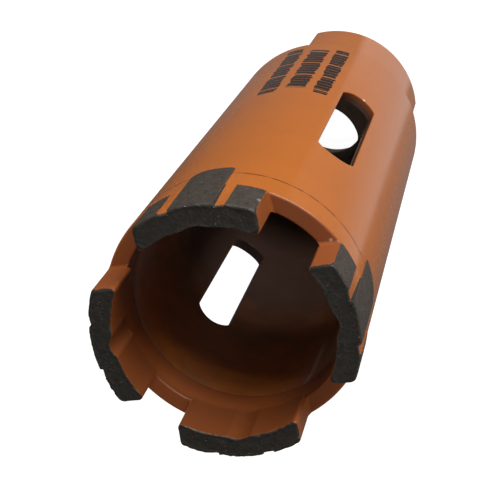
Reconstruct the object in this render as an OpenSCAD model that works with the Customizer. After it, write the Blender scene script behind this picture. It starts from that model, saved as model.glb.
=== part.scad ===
// Segmented diamond core bit, standing on its hub with the cutting end up.
// Millimetres. Z = 0 is the rear face of the hub, the Z axis is the drilling axis.

/* [Barrel] */
// Outer diameter of the painted steel tube
barrel_od = 51.6; // [48:0.1:56]
// Wall thickness of the tube
barrel_wall = 2.6; // [2:0.1:3.5]
// Height of the tube's rear rim above the hub's rear face
barrel_rear_z = 28.2; // [20:0.1:40]
// Height of the welded seam between the tube and the crown ring
seam_z = 140.9; // [120:0.1:160]
// Bevel along both edges of the seam and on the rear rim
edge_bevel = 0.2; // [0.1:0.05:0.6]

/* [Slug slots] */
// Width of each of the two opposite slots
slot_width = 9.0; // [6:0.1:14]
// Height of the slots' rear end
slot_low_z = 66.9; // [50:0.1:80]
// Height of the slots' front end
slot_high_z = 113.6; // [90:0.1:130]
// Radius of the rounded slot ends
slot_end_r = 4.9; // [4.6:0.1:8]

/* [Hub] */
// Outer diameter of the hub behind the tube
hub_od = 47.0; // [40:0.1:50]
// Height of the hub's front face, inside the tube
hub_front_z = 37.5; // [32:0.1:45]
// Height where the two wrench flats end
flat_top_z = 24.2; // [18:0.1:27]
// Width across the two wrench flats
across_flats = 36.0; // [30:0.5:41]
// Bevel round the rear face
rear_bevel = 0.4; // [0.2:0.1:1.5]
// Crest diameter of the half-inch pipe thread
thread_bore = 19.1; // [18.6:0.05:20]
// Diameter of the clear bore at the rear end of the thread
entry_bore = 23.6; // [22:0.1:26]
// Diameter of the relief bore at the front end of the thread
relief_bore = 21.8; // [21:0.1:23]
// Depth of the entry bevel at the rear face
entry_bevel = 4.0; // [0.5:0.1:5]
// Height where the thread starts
thread_low_z = 13.0; // [4:0.5:16]
// Height where the thread ends
thread_high_z = 31.5; // [26:0.1:34]
// Leg length of the fillet weld round the tube's rear rim
weld_leg = 1.9; // [1:0.1:2.2]

/* [Crown ring] */
// Inner diameter of the crown ring
ring_id = 44.6; // [42:0.1:47]
// Height of the ring's front face, the floor of the gullets
gullet_z = 148.2; // [140:0.1:155]
// Radius on the outer edge of each gullet floor
gullet_edge_r = 0.5; // [0.2:0.1:1.5]

/* [Segments] */
// Height of the cutting tips above the hub's rear face
tip_z = 159.0; // [150:0.5:170]
// Diameter over the pads, the size of the drilled hole
cutting_od = 52.0; // [51:0.1:54]
// Inner diameter of the segments, the size of the core
cutting_id = 42.8; // [40:0.1:45]
// Distance from the long pad's middle line to the narrow pad's side
near_side = 11.7; // [10:0.1:13]
// Distance from the long pad's middle line to the wide pad's side
far_side = 11.8; // [10:0.1:13]
// Width of the long middle pad
long_pad_width = 8.6; // [6:0.1:11]
// Height where the long pad ends, past the seam
long_pad_low_z = 138.3; // [135:0.1:145]
// Radius of the long pad's blunt rear corner
blunt_corner_r = 3.2; // [1:0.1:4]
// Radius of the long pad's tight rear corner
tight_corner_r = 0.9; // [0.3:0.1:2]
// Width of the outer grooves between the pads
groove_width = 2.3; // [1:0.1:4]
// Radius of the groove floor at the tips
groove_tip_r = 24.85; // [24:0.05:25.8]
// Radius of the single round groove inside each segment
inner_groove_r = 2.2; // [1.5:0.1:4]
// Depth of the groove inside each segment
inner_groove_depth = 1.1; // [0.3:0.1:1.5]
// Radius of the fillets at the foot of each segment
foot_fillet_r = 0.8; // [0.5:0.1:3]

/* [Segment places] */
// Angle of segment 1's long pad, whose narrow pad is next to the front slot
place_1 = -43.3; // [-48:0.1:-38]
// Angle of segment 2's long pad, mirrored and next to the front slot too
place_2 = -135.1; // [-140:0.1:-130]
// Angle of segment 3's long pad, whose narrow pad is next to the rear slot
place_3 = 131.9; // [127:0.1:137]
// Angle of segment 4's long pad, mirrored and next to the rear slot too
place_4 = 45.8; // [41:0.1:51]

/* [Hidden] */
$fn = 96;
barrel_r = barrel_od / 2;
barrel_in_r = barrel_r - barrel_wall;
hub_r = hub_od / 2;
ring_in_r = ring_id / 2;
cut_r = cutting_od / 2;
cut_in_r = cutting_id / 2;
// The long pad's tail is let into the ring and the tube down to this radius
tail_in_r = barrel_r - 1;
// The groove floor rises to the ring's surface over the segment's height
groove_tilt = atan((barrel_r - groove_tip_r) / (tip_z - gullet_z));
steel_orange = [0.74, 0.38, 0.16];
sintered_grey = [0.27, 0.27, 0.25];

// A ring between two radii and two heights
module tube(r_out, r_in, low, high) {
  translate([0, 0, low])
    difference() {
      cylinder(r = r_out, h = high - low);
      translate([0, 0, -1])
        cylinder(r = r_in, h = high - low + 2);
    }
}

// Places a segment: odd ones run one way round, even ones are mirrored
module at_place(angle, mirrored) {
  rotate([0, 0, angle])
    mirror([0, mirrored ? 1 : 0, 0])
      children();
}

module at_every_place() {
  at_place(place_1, false) children();
  at_place(place_2, true) children();
  at_place(place_3, false) children();
  at_place(place_4, true) children();
}

// One slot: straight sides with ends of a slightly larger radius than half the width
module slot_cut(angle) {
  rotate([0, 0, angle])
    translate([10, 0, 0])
      intersection() {
        translate([0, -slot_width / 2, slot_low_z - 1])
          cube([25, slot_width, slot_high_z - slot_low_z + 2]);
        union() {
          translate([1, -slot_width / 2 - 0.1, slot_low_z + slot_end_r])
            cube([23, slot_width + 0.2, slot_high_z - slot_low_z - 2 * slot_end_r]);
          for (z = [slot_low_z + slot_end_r, slot_high_z - slot_end_r])
            translate([1, 0, z])
              rotate([0, 90, 0])
                cylinder(r = slot_end_r, h = 23);
        }
      }
}

// Outline of the long pad's tail, as a block that points outwards
module tail_block(low, high) {
  half = long_pad_width / 2;
  translate([tail_in_r - 2, -half + tight_corner_r, low])
    cube([6, long_pad_width - tight_corner_r - blunt_corner_r, high - low]);
  translate([tail_in_r - 2, -half, low + tight_corner_r])
    cube([6, half, high - low - tight_corner_r]);
  translate([tail_in_r - 2, 0, low + blunt_corner_r])
    cube([6, half, high - low - blunt_corner_r]);
  translate([tail_in_r - 2, -half + tight_corner_r, low + tight_corner_r])
    rotate([0, 90, 0])
      cylinder(r = tight_corner_r, h = 6);
  translate([tail_in_r - 2, half - blunt_corner_r, low + blunt_corner_r])
    rotate([0, 90, 0])
      cylinder(r = blunt_corner_r, h = 6);
}

// The tail, from the floor of its pocket out to a radius
module tail(r_out, high) {
  intersection() {
    tail_block(long_pad_low_z, high);
    tube(r_out, tail_in_r, long_pad_low_z - 1, high + 1);
  }
}

// Outer groove beside the long pad, open at the tips, running out at the ring's surface
module outer_groove(side) {
  low_y = side > 0 ? long_pad_width / 2 : -long_pad_width / 2 - groove_width;
  translate([groove_tip_r, low_y, tip_z])
    rotate([0, 180 - groove_tilt, 0])
      translate([-4, 0, -1])
        cube([4, groove_width, 20]);
}

// Round-bottomed groove along the inside of a segment
module inner_groove() {
  translate([cut_in_r + inner_groove_depth - inner_groove_r, 0, gullet_z - 1])
    cylinder(r = inner_groove_r, h = tip_z - gullet_z + 2);
}

// Everything between the two parallel sides of a segment
module between_sides(low, high) {
  translate([cut_in_r - 8, -near_side, low])
    cube([20, near_side + far_side, high - low]);
}

// Concave fillet between a segment's side and the gullet floor
module foot_fillet(side) {
  reach = foot_fillet_r * 0.9;
  intersection() {
    translate([cut_in_r - 8, -side, gullet_z])
      difference() {
        translate([0, -reach, 0])
          cube([20, reach + 0.4, reach]);
        translate([-1, -foot_fillet_r, foot_fillet_r])
          rotate([0, 90, 0])
            cylinder(r = foot_fillet_r, h = 22);
      }
    tube(barrel_r - gullet_edge_r, ring_in_r, gullet_z, gullet_z + foot_fillet_r);
  }
}

module segment() {
  difference() {
    union() {
      intersection() {
        rotate_extrude()
          polygon([
            [cut_in_r, gullet_z],
            [cut_r, gullet_z],
            [cut_r, tip_z - 1.4],
            [cut_r - 0.2, tip_z - 0.5],
            [cut_r - 0.6, tip_z],
            [cut_in_r + 0.2, tip_z],
            [cut_in_r, tip_z - 0.2]
          ]);
        between_sides(gullet_z - 1, tip_z + 1);
      }
      foot_fillet(near_side);
      mirror([0, 1, 0])
        foot_fillet(far_side);
      tail(cut_r, gullet_z + 0.5);
    }
    outer_groove(-1);
    outer_groove(1);
    inner_groove();
  }
}

module barrel() {
  color(steel_orange)
    difference() {
      rotate_extrude()
        polygon([
          [barrel_in_r, barrel_rear_z],
          [barrel_r - edge_bevel, barrel_rear_z],
          [barrel_r, barrel_rear_z + edge_bevel],
          [barrel_r, seam_z - edge_bevel],
          [barrel_r - edge_bevel, seam_z],
          [barrel_in_r, seam_z]
        ]);
      slot_cut(-90);
      slot_cut(90);
      at_every_place() tail(cut_r + 1, gullet_z);
    }
}

module hub() {
  color(steel_orange)
    difference() {
      union() {
        cylinder(r1 = hub_r - rear_bevel, r2 = hub_r, h = rear_bevel);
        translate([0, 0, rear_bevel])
          cylinder(r = hub_r, h = barrel_rear_z - rear_bevel);
        translate([0, 0, barrel_rear_z])
          cylinder(r = barrel_in_r, h = hub_front_z - barrel_rear_z);
      }
      for (side = [-1, 1])
        translate([side * (across_flats / 2 + 10) - 10, -30, -1])
          cube([20, 60, flat_top_z + 1]);
      translate([0, 0, -1])
        cylinder(r = thread_bore / 2, h = hub_front_z + 2);
      translate([0, 0, -1])
        cylinder(r = entry_bore / 2, h = thread_low_z + 1);
      translate([0, 0, -0.01])
        cylinder(r1 = entry_bore / 2 + entry_bevel + 0.01, r2 = entry_bore / 2, h = entry_bevel + 0.01);
      translate([0, 0, thread_high_z])
        cylinder(r = relief_bore / 2, h = 10);
    }
}

// Fillet weld between the hub and the tube's rear rim
module weld_bead() {
  color(steel_orange)
    rotate_extrude()
      difference() {
        translate([hub_r, barrel_rear_z - weld_leg])
          square([weld_leg, weld_leg]);
        translate([hub_r + weld_leg * 1.25, barrel_rear_z - weld_leg * 1.25])
          circle(r = weld_leg * 1.15);
      }
}

module crown_ring() {
  color(steel_orange)
    difference() {
      rotate_extrude()
        polygon([
          [ring_in_r, seam_z],
          [barrel_r - edge_bevel, seam_z],
          [barrel_r, seam_z + edge_bevel],
          [barrel_r, gullet_z],
          [ring_in_r, gullet_z]
        ]);
      gullet_edges();
      at_every_place() tail(cut_r + 1, gullet_z + 1);
    }
}

// Rounds the outer edge of the ring's front face, except where the segments stand
module gullet_edges() {
  difference() {
    rotate_extrude()
      difference() {
        translate([barrel_r - gullet_edge_r, gullet_z - gullet_edge_r])
          square([gullet_edge_r + 1, gullet_edge_r + 1]);
        translate([barrel_r - gullet_edge_r, gullet_z - gullet_edge_r])
          circle(r = gullet_edge_r);
      }
    at_every_place() between_sides(gullet_z - 2, gullet_z + 2);
  }
}

module segment_1() {
  color(sintered_grey)
    at_place(place_1, false) segment();
}

module segment_2() {
  color(sintered_grey)
    at_place(place_2, true) segment();
}

module segment_3() {
  color(sintered_grey)
    at_place(place_3, false) segment();
}

module segment_4() {
  color(sintered_grey)
    at_place(place_4, true) segment();
}

barrel();
hub();
weld_bead();
crown_ring();
segment_1();
segment_2();
segment_3();
segment_4();
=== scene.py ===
"""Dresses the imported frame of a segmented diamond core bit: sprayed tube, welded hub, grooved segments.

Shapes are worked out in millimetres and stored in metres. Z is the drilling axis, with the hub's rear
face at 0.
"""

import math
from functools import partial

import bmesh
import bpy
import numpy as np
from bpy.props import FloatProperty, FloatVectorProperty, PointerProperty
from mathutils import Matrix, Vector, noise


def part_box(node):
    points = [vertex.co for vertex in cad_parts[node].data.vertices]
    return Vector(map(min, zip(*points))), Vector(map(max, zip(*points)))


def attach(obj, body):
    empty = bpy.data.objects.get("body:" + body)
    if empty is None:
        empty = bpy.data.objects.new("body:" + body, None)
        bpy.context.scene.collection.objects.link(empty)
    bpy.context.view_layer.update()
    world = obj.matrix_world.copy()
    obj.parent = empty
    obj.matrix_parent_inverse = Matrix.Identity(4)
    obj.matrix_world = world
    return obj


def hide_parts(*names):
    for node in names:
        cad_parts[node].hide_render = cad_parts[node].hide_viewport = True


bl_info = {
    "name": "Diamond Core Bit",
    "version": (1, 0, 0),
    "blender": (4, 5, 0),
    "location": "View3D > Sidebar > Core Bit",
    "description": "Builds the painted tube, the hub and the cutting crown round the CAD frame",
    "category": "Object",
}

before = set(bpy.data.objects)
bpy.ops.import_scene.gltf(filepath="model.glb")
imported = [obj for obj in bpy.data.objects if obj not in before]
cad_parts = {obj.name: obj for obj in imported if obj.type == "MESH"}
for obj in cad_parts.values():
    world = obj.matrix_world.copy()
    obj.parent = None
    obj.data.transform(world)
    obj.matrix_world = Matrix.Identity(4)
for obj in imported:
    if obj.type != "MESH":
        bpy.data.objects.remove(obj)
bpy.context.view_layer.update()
MM = 0.001

# Depth and reach of the fine groove where the tube meets the crown ring, in millimetres
SEAM_CUT, SEAM_REACH = 0.05, 0.07
# For each segment: angle of its long pad, which way it runs, how chipped it is, and how much of its far
# groove and its inner groove the wear has left
PLACES = {
    "segment_1": (-43.3, 1, 0.6, 1.0, 0.35),
    "segment_2": (-135.1, -1, 0.6, 1.0, 0.7),
    "segment_3": (131.9, 1, 0.8, 0.3, 0.45),
    "segment_4": (45.8, -1, 0.9, 1.0, 0.8),
}
OUTER, INNER = 1, -1
# Knocks on single segments: which edge, place along the segment, half width and depth in millimetres
KNOCKS = {
    "segment_1": ((INNER, 11.8, 2.2, 1.0), (INNER, -11.7, 2.0, 0.9)),
    "segment_2": ((INNER, 11.8, 1.8, 1.0), (INNER, -11.7, 1.6, 0.8), (OUTER, 2.6, 0.5, 0.25)),
    "segment_3": ((OUTER, -3.6, 0.95, 0.7), (OUTER, 8.6, 1.0, 0.3)),
    "segment_4": ((OUTER, 9.4, 0.5, 0.35), (OUTER, -9.2, 0.6, 0.3), (INNER, 7.5, 1.4, 0.35)),
}
# Middle and radius, in metres, of the bright corner on the narrow pad of segment 1: rubbed metal, partly a
# painted highlight
RUBBED_GLINT = ((0.0088, -0.0243, 0.1537), 0.0007)
# Painted highlights, as small bright spots: at the rear end of the front slot and at the foot of segment 2
PAINTED_GLINTS = (((-0.0008, -0.0257, 0.0665), 0.0005), ((-0.0062, -0.0239, 0.1484), 0.00045))
# Rows of plain ticks: middle and half width in degrees, lowest and highest tick in millimetres
TICK_ROWS = ((-68.7, 4.4, 34, 78), (-55, 5.8, 36, 76), (-40, 5.4, 33, 79))
# Rise from one tick to the next and from one gap to the next, in metres
TICK_RISE, GAP_RISE = 0.0024, 0.0125
# Height of the bumps in the paint and of fine tool marks, in metres
FINE_BUMP = 0.00001
# Directions on the floor: from the drilling axis roughly to the camera's foot, and to the picture's right
FORWARD, ASIDE = (0.208, -0.978), (-0.978, -0.208)
# Noise patterns of a segment's wear, kept apart by their numbers
OUTER_WAVES, OUTER_TEETH, INNER_WAVES, INNER_TEETH, PITS = range(1, 6)
OUTER_JAGS, FACE_GRAIN, FACE_WAVES, INNER_JAGS = range(6, 10)


def linear(code):
    """Turns an sRGB hex colour into the linear one that shaders use."""
    parts = [int(code[i : i + 2], 16) / 255 for i in (1, 3, 5)]
    return tuple(p / 12.92 if p <= 0.04045 else ((p + 0.055) / 1.055) ** 2.4 for p in parts)


def toned(colour, level):
    """The colour made darker, or lighter above 1."""
    return tuple(part * level for part in colour)


def length(name, description, default):
    """A size in metres, given here in millimetres."""
    looks = {"unit": "LENGTH", "subtype": "DISTANCE", "precision": 5}
    return FloatProperty(name=name, description=description, default=default * MM, min=0, **looks)


def colour(name, description, code):
    looks = {"size": 3, "min": 0, "max": 1, "subtype": "COLOR"}
    return FloatVectorProperty(name=name, description=description, default=linear(code), **looks)


def top_of(name):
    """The highest corner of a CAD node's box, in millimetres."""
    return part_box(name)[1] / MM


class BitSizes(bpy.types.PropertyGroup):
    barrel_radius: length("Tube radius", "Outer radius of the painted tube", top_of("barrel").x)
    barrel_wall: length("Tube wall", "Thickness of the tube's wall", 2.6)
    barrel_rear: length("Tube rear end", "Height of the tube's rear rim", 28.2)
    seam: length("Seam height", "Height where the tube meets the crown ring", top_of("barrel").z)
    slot_width: length("Slot width", "Width of the two slots", 9.0)
    slot_low: length("Slot rear end", "Height where the slots start", 66.9)
    slot_high: length("Slot front end", "Height where the slots end", 113.6)
    slot_end_radius: length("Slot end radius", "Radius of the slots' round ends", 4.9)
    paint_edge: length("Painted edge", "Radius that the paint gives to a cut edge", 0.3)
    hub_radius: length("Hub radius", "Outer radius of the hub", top_of("hub").x)
    rear_bevel: length("Rear bevel", "Bevel round the hub's rear face", 0.4)
    entry_radius: length("Entry radius", "Radius of the bore behind the thread", 11.8)
    entry_bevel: length("Entry bevel", "Bevel of the bore at the rear face", 4)
    relief_radius: length("Relief radius", "Radius of the bore in front of the thread", 10.9)
    thread_low: length("Thread start", "Height where the thread starts", 13)
    thread_high: length("Thread end", "Height where the thread ends", 31.5)
    half_flats: length("Half across flats", "Distance of each wrench flat from the axis", 18)
    flat_top: length("Flat height", "Height where the wrench flats end", 24.2)
    hub_front: length("Hub front face", "Height of the hub's face inside the tube", top_of("hub").z)
    thread_root: length("Thread root radius", "Radius at the bottom of the thread's grooves", 10.48)
    thread_crest: length("Thread crest radius", "Radius over the thread's crests", 9.55)
    thread_pitch: length("Thread pitch", "Rise of one turn of the half-inch pipe thread", 1.814)
    ring_inner: length("Ring inner radius", "Inner radius of the crown ring", 22.3)
    gullet: length("Gullet floor", "Height of the floor between segments", top_of("crown_ring").z)
    gullet_edge: length("Gullet edge", "Radius on the gullets' outer edge", 0.5)
    cutting_radius: length("Cutting radius", "Radius over the segments' pads", 26)
    core_radius: length("Core radius", "Radius inside the segments", 21.4)
    tip: length("Tip height", "Height of the cutting tips", top_of("segment_1").z)
    near_side: length("Near side", "From the long pad's middle line to the narrow pad's side", 11.7)
    far_side: length("Far side", "From the long pad's middle line to the wide pad's side", 11.8)
    long_pad: length("Long pad width", "Width of the pad that runs down past the seam", 8.6)
    long_pad_end: length("Long pad end", "Height where the long pad ends", 138.3)
    groove: length("Groove width", "Width of the outer grooves", 2.3)
    groove_floor: length("Groove floor", "Distance of the grooves' floor from the axis at the tips", 24.85)
    inner_groove: length("Inner groove radius", "Radius of the groove inside each segment", 2.2)
    inner_groove_depth: length("Inner groove depth", "Depth of the groove inside each segment", 1.1)
    foot_fillet: length("Foot fillet", "Radius between a segment's side and the gullet floor", 0.8)
    worn_corner: length("Worn corner", "Radius that wear gives to the upright corners", 0.35)
    chip: length("Chipping", "How far the worst chips reach in from an edge", 0.5)
    grit_size: length("Grit size", "Width of one diamond grain", 0.4)


class BitColours(bpy.types.PropertyGroup):
    enamel: colour("Enamel", "Sprayed orange enamel", "#C5702F")
    dirt: colour("Dirt", "Grime specks on the enamel", "#4A2A1A")
    seam_grime: colour("Seam grime", "Brown grime in the seam", "#713C1C")
    # Darker enamel: partly a thinner coat, partly painted shade
    thin_coat_and_shade: colour("Thin coat", "Enamel on faces that the spray only grazed", "#9B5327")
    inside: colour("Inside", "Drawn steel inside the tube, under overspray", "#5B4034")
    rubbed: colour("Rubbed metal", "Segment metal rubbed bright at a corner", "#8A8883")
    # Colour of painted highlights and reflections: bright spots, a line in the front slot and a streak
    # inside the tube
    painted_glint: colour("Fresh steel", "Steel scraped or chipped bright", "#D8C4B0")
    # Partly rubbed metal, partly a painted highlight
    sintered: colour("Sintered metal", "Ground metal of the segments", "#484039")
    slurry: colour("Slurry", "Dried slurry on the cutting faces", "#151812")
    pits: colour("Pits", "Pores and pulled-out grains in the segments", "#211F1D")
    grit: colour("Grit", "Diamond grains in the segments", "#4C4940")
    steel: colour("Steel", "Machined steel of the thread", "#84705F")
    ink: colour("Ink", "Dark stoving ink of the depth ticks", "#1E1612")
    floor: colour("Floor", "Matt floor", "#A2A2A0")


# Meshes


def polar(radius, angle, height):
    """Points, or normals, from their distance from the drilling axis, angle and height."""
    radius, angle, height = np.broadcast_arrays(radius, angle, height)
    return np.stack([radius * np.cos(angle), radius * np.sin(angle), height], -1)


def mm(value):
    """Metres to millimetres."""
    return value / MM


def arc(count):
    """Angles of a quarter turn."""
    return np.linspace(0, math.pi / 2, count)


class Skin:
    """Gathers grids of points, in millimetres, and makes one closed mesh of them."""

    def __init__(self):
        self.points, self.normals, self.marks, self.faces = [], [], [], []
        self.count = 0

    def sheet(self, points, normals=None, marks=0.0, wrap=False):
        """Adds a grid of rows and columns; wrap joins the last column to the first."""
        points = np.asarray(points, float)
        rows, columns = points.shape[:2]
        index = self.count + np.arange(rows * columns).reshape(rows, columns)
        if wrap:
            index = np.hstack([index, index[:, :1]])
        quads = [index[:-1, :-1], index[:-1, 1:], index[1:, 1:], index[1:, :-1]]
        normals = np.zeros(points.shape) if normals is None else np.asarray(normals, float)
        self.faces.append(np.stack(quads, -1).reshape(-1, 4))
        self.points.append(points.reshape(-1, 3))
        self.normals.append(normals.reshape(-1, 3))
        self.marks.append(np.broadcast_to(marks, (rows, columns)).reshape(-1))
        self.count += rows * columns

    def turned(self, profile, angle):
        """Adds a turned surface; a row is its distance from the axis, height and outward and upward lean."""
        points = [polar(radius, angle, z) for radius, z, _, _ in profile]
        normals = [polar(out, angle, up) for _, _, out, up in profile]
        self.sheet(points, normals, wrap=True)

    def build(self, name, mark_name=None, crease=None):
        """Merges the grids, turns the faces outwards and keeps the worked-out normals or a crease angle."""
        mesh = bpy.data.meshes.new(name)
        points = np.concatenate(self.points) * MM
        mesh.from_pydata(points.tolist(), [], np.concatenate(self.faces).tolist())
        normals = np.concatenate(self.normals).astype(np.float32)
        worked = mesh.attributes.new("worked_normal", "FLOAT_VECTOR", "POINT")
        worked.data.foreach_set("vector", normals.ravel())
        if mark_name:
            marks = np.concatenate(self.marks).astype(np.float32)
            mesh.attributes.new(mark_name, "FLOAT", "POINT").data.foreach_set("value", marks)
        shell = bmesh.new()
        shell.from_mesh(mesh)
        bmesh.ops.remove_doubles(shell, verts=shell.verts, dist=4e-7)
        bmesh.ops.recalc_face_normals(shell, faces=shell.faces)
        shell.to_mesh(mesh)
        shell.free()
        mesh.shade_smooth()
        if crease is None:
            kept = np.zeros(len(mesh.vertices) * 3, np.float32)
            mesh.attributes["worked_normal"].data.foreach_get("vector", kept)
            mesh.normals_split_custom_set_from_vertices(kept.reshape(-1, 3).tolist())
        else:
            mesh.set_sharp_from_angle(angle=math.radians(crease))
        mesh.attributes.remove(mesh.attributes["worked_normal"])
        piece = bpy.data.objects.new(name, mesh)
        bpy.context.scene.collection.objects.link(piece)
        return piece


# Tube and crown ring


def slot_outline(bit, sides, ends, paint):
    """Points round one slot and the directions away from it, across and along; paint narrows the slot."""
    half, end = mm(bit.slot_width) / 2 - paint, mm(bit.slot_end_radius) - paint
    low, high = mm(bit.slot_low) + end + 2 * paint, mm(bit.slot_high) - end - 2 * paint
    reach, turn = math.sqrt(end**2 - half**2), math.asin(half / end)
    z = np.linspace(low - reach, high + reach, sides + 1)
    a = np.linspace(turn, -turn, ends + 1)
    side = np.stack([np.full(sides + 1, half), z, np.ones(sides + 1), np.zeros(sides + 1)], -1)
    cap = np.stack([end * np.sin(a), high + end * np.cos(a), np.sin(a), np.cos(a)], -1)
    away = side[0, 2:] + cap[0, 2:]
    side[0, 2:] = away * (1, -1) / np.linalg.norm(away)
    cap[0, 2:] = away / np.linalg.norm(away)
    far_side = side[::-1] * (-1, 1, -1, 1)
    far_side[0, 2:] = cap[0, 2:] * (-1, 1)
    low_cap = cap[::-1] * (1, -1, 1, -1)
    low_cap[:, 1] += low + high
    low_cap[0, 2:] = side[0, 2:] * (-1, 1)
    return np.concatenate([side[:-1], cap[:-1], far_side[:-1], low_cap[:-1]])


def make_barrel(bit):
    """The tube with its two slots, painted edges and smooth round walls."""
    outer, edge = mm(bit.barrel_radius), mm(bit.paint_edge)
    inner, inner_edge = outer - mm(bit.barrel_wall), edge * 0.5
    rear, seam = mm(bit.barrel_rear), mm(bit.seam)
    # Two patches, each 20 steps to either side of a slot and 10 mm past its ends, leave two plain ones
    step, half_patch, rows = math.radians(1.5), 20, 34
    patch_low, patch_high = mm(bit.slot_low) - 10, mm(bit.slot_high) + 10
    patch_z = np.linspace(patch_low, patch_high, rows + 1)
    around = np.arange(240) * step
    skin = Skin()

    rear_bevel, crisp = 0.24, 0.01
    skin.turned(
        [
            *[(inner, z, -1, 0) for z in np.linspace(patch_low, rear + 0.05, 12)],
            (inner, rear, 0, -1),
            (outer - rear_bevel - crisp, rear, 0, -1),
            (outer - rear_bevel, rear, 0.7, -0.7),
            (outer, rear + rear_bevel, 0.7, -0.7),
            *[(outer, z, 1, 0) for z in np.linspace(rear + rear_bevel + 2 * crisp, patch_low, 12)],
        ],
        around,
    )
    # The weld's root and the paint run into the step inside the seam
    root, run, lean = 0.88, 7.5, 0.23
    run_in = [
        (inner - root * (1 - t) ** 2, seam - 0.05 - run * t, -1, -lean * (1 - t))
        for t in np.linspace(0, 1, 12)
    ]
    skin.turned(
        [
            *[(outer, z, 1, 0) for z in np.linspace(patch_high, seam - 0.4, 8)],
            (outer, seam - SEAM_REACH, 1, 0),
            (outer - SEAM_CUT, seam, 0.7, 0.7),
            (outer - SEAM_REACH, seam, 0, 1),
            (inner - root, seam, 0, 1),
            *run_in,
            *[(inner, z, -1, 0) for z in np.linspace(seam - 8, patch_high, 8)],
        ],
        around,
    )
    for first in (-60, 120):
        angle = np.radians(first) + np.arange(81) * step
        for radius, side in ((outer, 1), (inner, -1)):
            points = polar(radius, angle, patch_z[:, None])
            skin.sheet(points, polar(side, angle, 0 * patch_z[:, None]))

    across = np.linspace(half_patch, -half_patch, 2 * half_patch + 1) * step
    sides = [
        (np.full(rows, across[0]), patch_z[:-1]),
        (across[:-1], np.full(2 * half_patch, patch_high)),
        (np.full(rows, across[-1]), patch_z[:0:-1]),
        (across[:0:-1], np.full(2 * half_patch, patch_low)),
    ]
    square = np.concatenate([np.stack(side, -1) for side in sides])
    # The rear slot is narrowed by its thicker paint
    for turn, paint in ((-1, 0), (1, 0.2)):
        outline = slot_outline(bit, rows, 2 * half_patch, paint)

        def place(x, out, z):
            return np.stack([-turn * x, turn * out, z], -1)

        for radius, side, soft in ((outer, 1, edge), (inner, -1, inner_edge)):
            points, normals = [], []
            for a in arc(7):
                x = outline[:, 0] + outline[:, 2] * soft * (1 - math.cos(a))
                z = outline[:, 1] + outline[:, 3] * soft * (1 - math.cos(a))
                r = radius - side * soft * (1 - math.sin(a))
                lean = np.arcsin(x / r)
                out = math.sin(a) * side
                tilt = -math.cos(a) * outline[:, 2:]
                points.append(place(x, r * np.cos(lean), z))
                normals.append(place(out * np.sin(lean) + tilt[:, 0], out * np.cos(lean), tilt[:, 1]))
            lean, height = np.arcsin(x / radius), z
            for t in (np.arange(1, 11) / 10) ** 1.7:
                angle = lean + (square[:, 0] - lean) * t
                z = height + (square[:, 1] - height) * t
                points.append(place(radius * np.sin(angle), radius * np.cos(angle), z))
                normals.append(place(side * np.sin(angle), side * np.cos(angle), 0 * z))
            skin.sheet(points, normals, wrap=True)
        x, z = outline[:, 0], outline[:, 1]
        depths = np.linspace(outer - edge, inner + inner_edge, 6)
        walls = [place(x, np.sqrt(r**2 - x**2), z) for r in depths]
        skin.sheet(walls, [place(-outline[:, 2], 0 * x, -outline[:, 3])] * len(depths), wrap=True)
    return skin.build("barrel_tube")


def make_ring(bit):
    """The crown ring, its outer edge rounded where no segment stands on it."""
    outer, inner, low, high = mm(bit.barrel_radius), mm(bit.ring_inner), mm(bit.seam), mm(bit.gullet)
    angle = np.arange(960) * math.tau / 960
    open_by = np.full(angle.shape, 99.0)
    for place, way, *_ in PLACES.values():
        turned = angle - math.radians(place)
        across = way * outer * np.sin(turned)
        outside = np.maximum(across - mm(bit.far_side), -mm(bit.near_side) - across)
        open_by = np.where(np.cos(turned) > 0, np.minimum(open_by, outside), open_by)
    share = np.clip(open_by / mm(bit.foot_fillet), 0.02, 1)
    soft = mm(bit.gullet_edge) * share * share * (3 - 2 * share)
    lip = 0.35
    turns, lip_turns = [[(math.sin(a), math.cos(a)) for a in arc(count)] for count in (9, 6)]
    skin = Skin()
    skin.turned(
        [
            (outer - SEAM_CUT, low, 0.7, -0.7),
            (outer, low + SEAM_REACH, 1, 0),
            (outer, low + 0.4, 1, 0),
            (outer, low + 3, 1, 0),
            *[(outer - soft * (1 - cos), high - soft * (1 - sin), cos, sin) for sin, cos in turns],
            *[(r, high, 0, 1) for r in np.linspace(outer - 1.2, inner + lip + 0.1, 6)],
            *[(inner + lip * (1 - sin), high - lip * (1 - cos), -sin, cos) for sin, cos in lip_turns],
            (inner, low + 3, -1, 0),
            (inner, low + 0.02, -1, -0.1),
            (inner, low, 0, -1),
            (outer - SEAM_REACH, low, 0, -1),
            (outer - SEAM_CUT, low, 0.7, -0.7),
        ],
        angle,
    )
    return skin.build("crown_ring_body")


# Hub, with its thread and weld


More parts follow.
